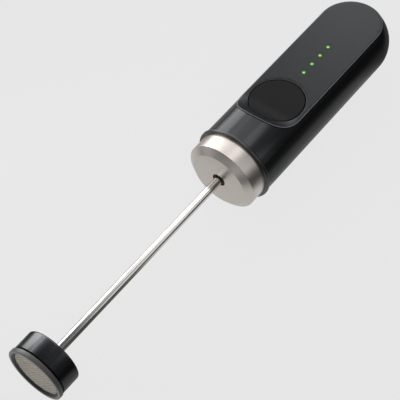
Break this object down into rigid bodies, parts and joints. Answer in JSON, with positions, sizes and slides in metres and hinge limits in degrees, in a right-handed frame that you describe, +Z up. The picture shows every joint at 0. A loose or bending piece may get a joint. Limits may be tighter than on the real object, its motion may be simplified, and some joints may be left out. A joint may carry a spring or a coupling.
{
  "type": "milk frother",
  "caption": "Handheld rechargeable milk frother with a round-ended black handle, thumb button, status lights, long steel shaft and a mixing cup under a clip-on mesh screen.",
  "frame": {"origin": "bottom centre of the bounding box, on the surface that the tool lies on", "axes": "+X along the tool from the screen to the handle end, +Z up out of the flat face panel, Y across"},
  "size_m": [0.2336, 0.0372, 0.0372],
  "materials": {
    "black_shell": "black satin moulding",
    "grey_panel": "dark grey matte, fine grain",
    "button_grey": "charcoal soft matte",
    "clear_guide": "clear light pipe, lit green",
    "black_collar": "gloss black",
    "brushed_cap": "satin stainless",
    "polished_shaft": "polished stainless",
    "black_head": "black satin moulding",
    "dark_ring": "black satin",
    "woven_steel": "woven wire",
    "black_rubber": "matte",
    "inner_plastic": "moulded",
    "zinc_steel": "zinc plated",
    "bronze": "sintered",
    "brass_parts": "turned",
    "copper": "enamelled",
    "ferrite": "moulded ferrite",
    "nickel": "plated",
    "foam": "soft foam",
    "cell_wrap": "shrink sleeve over a steel can",
    "board": "solder resist",
    "chip_black": "moulded",
    "wire_skin": "insulated wire"
  },
  "bodies": {
    "handle": {"handle_shell": "black_shell", "face_panel": "grey_panel", "light_guide": "clear_guide", "end_collar": "black_collar", "steel_end_cap": "brushed_cap", "nose_block": "inner_plastic", "shaft_seal": "black_rubber", "shaft_bush": "bronze", "motor_can": "zinc_steel", "motor_end_bell": "inner_plastic", "motor_front_bush": "bronze", "motor_rear_bush": "bronze", "motor_magnets": "ferrite", "motor_terminals": "brass_parts", "motor_brushes": "brass_parts", "motor_screws": "zinc_steel", "cap_screws": "zinc_steel", "board_screws": "zinc_steel", "body_o_ring": "black_rubber", "chassis": "inner_plastic", "battery_cell": "cell_wrap", "battery_tabs": "nickel", "battery_pad": "foam", "circuit_board": "board", "indicator_leds": "clear_guide", "switch_case": "inner_plastic", "control_chips": "chip_black", "usb_socket": "nickel", "usb_tongue": "chip_black", "motor_leads": "wire_skin"},
    "rotor": {"mixing_head": "black_head", "drive_shaft": "polished_shaft", "shaft_coupling": "brass_parts", "motor_shaft": "polished_shaft", "rotor_core": "zinc_steel", "rotor_windings": "copper", "commutator": "copper"},
    "screen": {"screen_ring": "dark_ring", "screen_mesh": "woven_steel", "screen_o_ring": "black_rubber"},
    "button": {"push_button": "button_grey", "switch_stem": "chip_black"}
  },
  "joints": [
    {"name": "shaft_spin", "type": "hinge", "parent": "handle", "child": "rotor", "pos_m": [0.00015, 0, 0.0186], "axis": [1, 0, 0], "continuous": true},
    {"name": "screen_pull", "type": "slide", "parent": "rotor", "child": "screen", "axis": [-1, 0, 0], "range_m": [0, 0.012]},
    {"name": "button_press", "type": "slide", "parent": "handle", "child": "button", "axis": [0, 0, -1], "range_m": [0, 0.0006], "stiffness_N_per_m": 2500, "springref_m": -0.0004}
  ]
}
